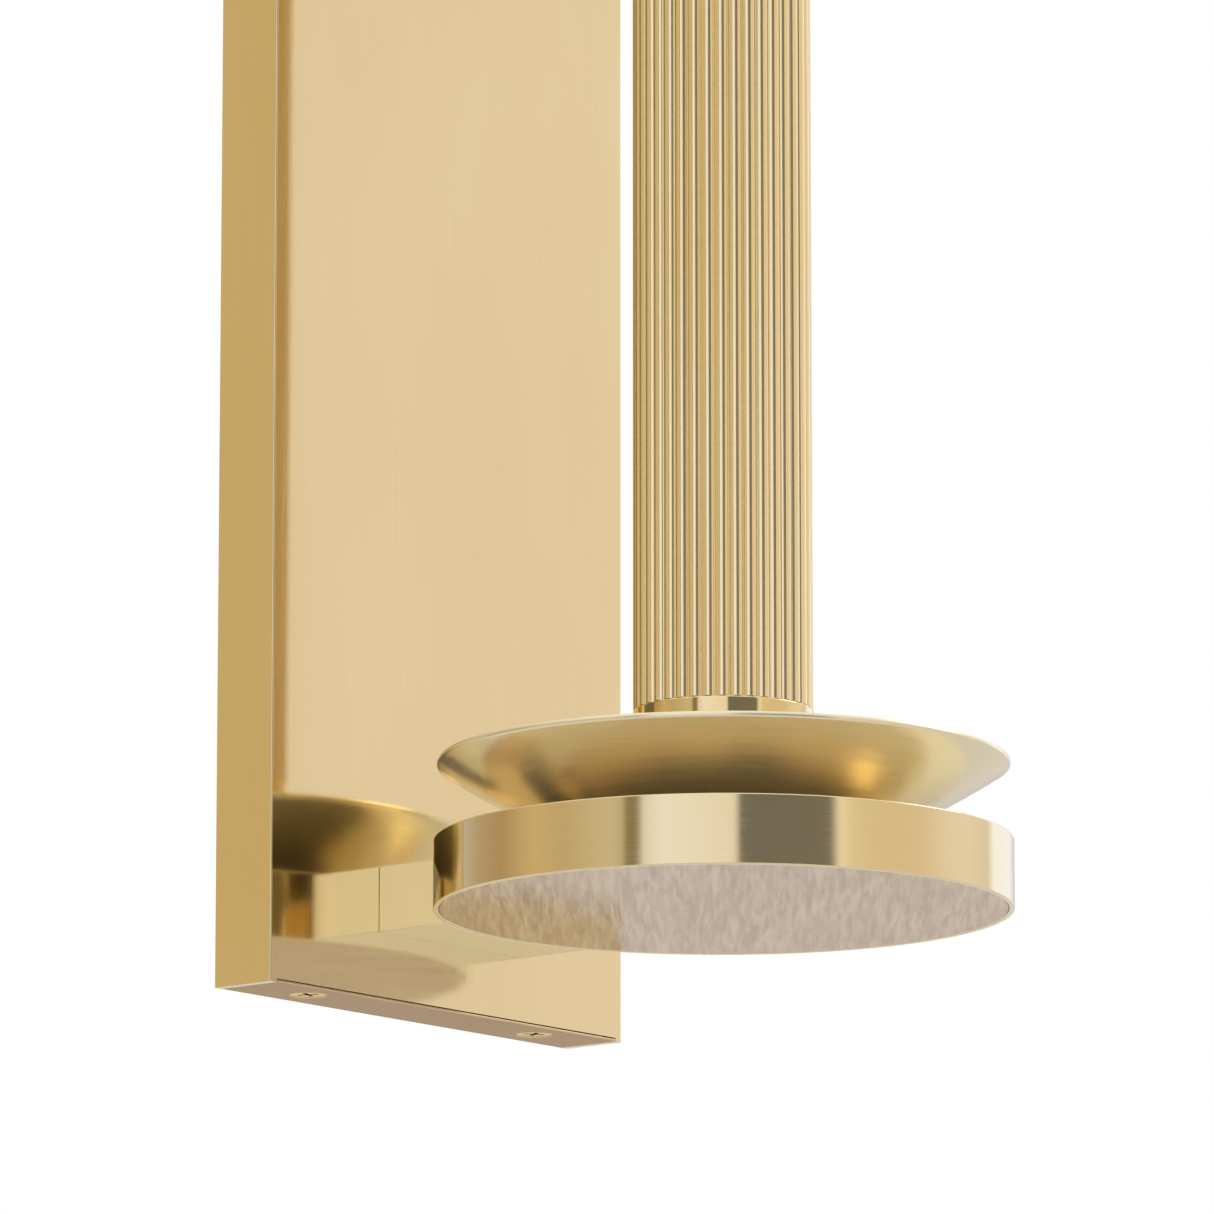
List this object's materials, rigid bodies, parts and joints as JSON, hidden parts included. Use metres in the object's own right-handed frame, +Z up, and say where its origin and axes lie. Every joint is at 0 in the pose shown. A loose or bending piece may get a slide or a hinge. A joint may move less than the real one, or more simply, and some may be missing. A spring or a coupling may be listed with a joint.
{
  "type": "wall sconce candle holder",
  "caption": "Brass wall sconce: tall box back plate, short arm, round disc base, flared drip dish and reeded column with a candle cup, loose drip pan and candle.",
  "frame": {"origin": "middle of the four wall-screw holes, on the wall plane, at half the height of the back plate", "axes": "+Z up, +Y into the wall, -Y out of the front, +X to the right seen from the front"},
  "size_m": [0.12, 0.149, 0.4063],
  "materials": {
    "brushed_brass": "lacquered, fine upright brushing",
    "turned_brass": "lacquered, fine turned grain",
    "spun_brass": "lacquered, spun rings",
    "polished_brass": "polished and lacquered",
    "reeded_brass": "polished reeds, lacquered",
    "screw_brass": "machined",
    "pale_underside": "pale satin, finely wrinkled lacquer",
    "zinc_steel": "zinc plated",
    "felt": "pressed felt",
    "candle_wax": "ivory wax, soft sheen",
    "wick_cotton": "braided cotton"
  },
  "bodies": {
    "sconce": {"wall_bracket": "zinc_steel", "front_plate": "brushed_brass", "side_strips": "brushed_brass", "end_caps": "brushed_brass", "cover_screws": "screw_brass", "arm_backing_plate": "zinc_steel", "arm_screws": "zinc_steel", "arm_washers": "zinc_steel", "arm": "brushed_brass", "base_disc": "turned_brass", "disc_screws": "zinc_steel", "disc_washers": "zinc_steel", "underside_plate": "pale_underside", "clamp_washer": "zinc_steel", "clamp_nut": "zinc_steel", "tie_rod": "zinc_steel", "dish_seat": "felt", "drip_dish": "spun_brass", "lower_collar": "polished_brass", "lower_plug": "zinc_steel", "reeded_column": "reeded_brass", "upper_plug": "zinc_steel", "column_nut": "zinc_steel", "upper_collar": "polished_brass", "candle_cup": "turned_brass"},
    "drip_pan": {"bobeche": "spun_brass"},
    "candle": {"candle": "candle_wax", "wick": "wick_cotton"}
  },
  "joints": [
    {"name": "candle_lift", "type": "slide", "parent": "sconce", "child": "candle", "axis": [0, 0, 1], "range_m": [0, 0.06]},
    {"name": "bobeche_lift", "type": "slide", "parent": "sconce", "child": "drip_pan", "axis": [0, 0, 1], "range_m": [0, 0.05]}
  ]
}
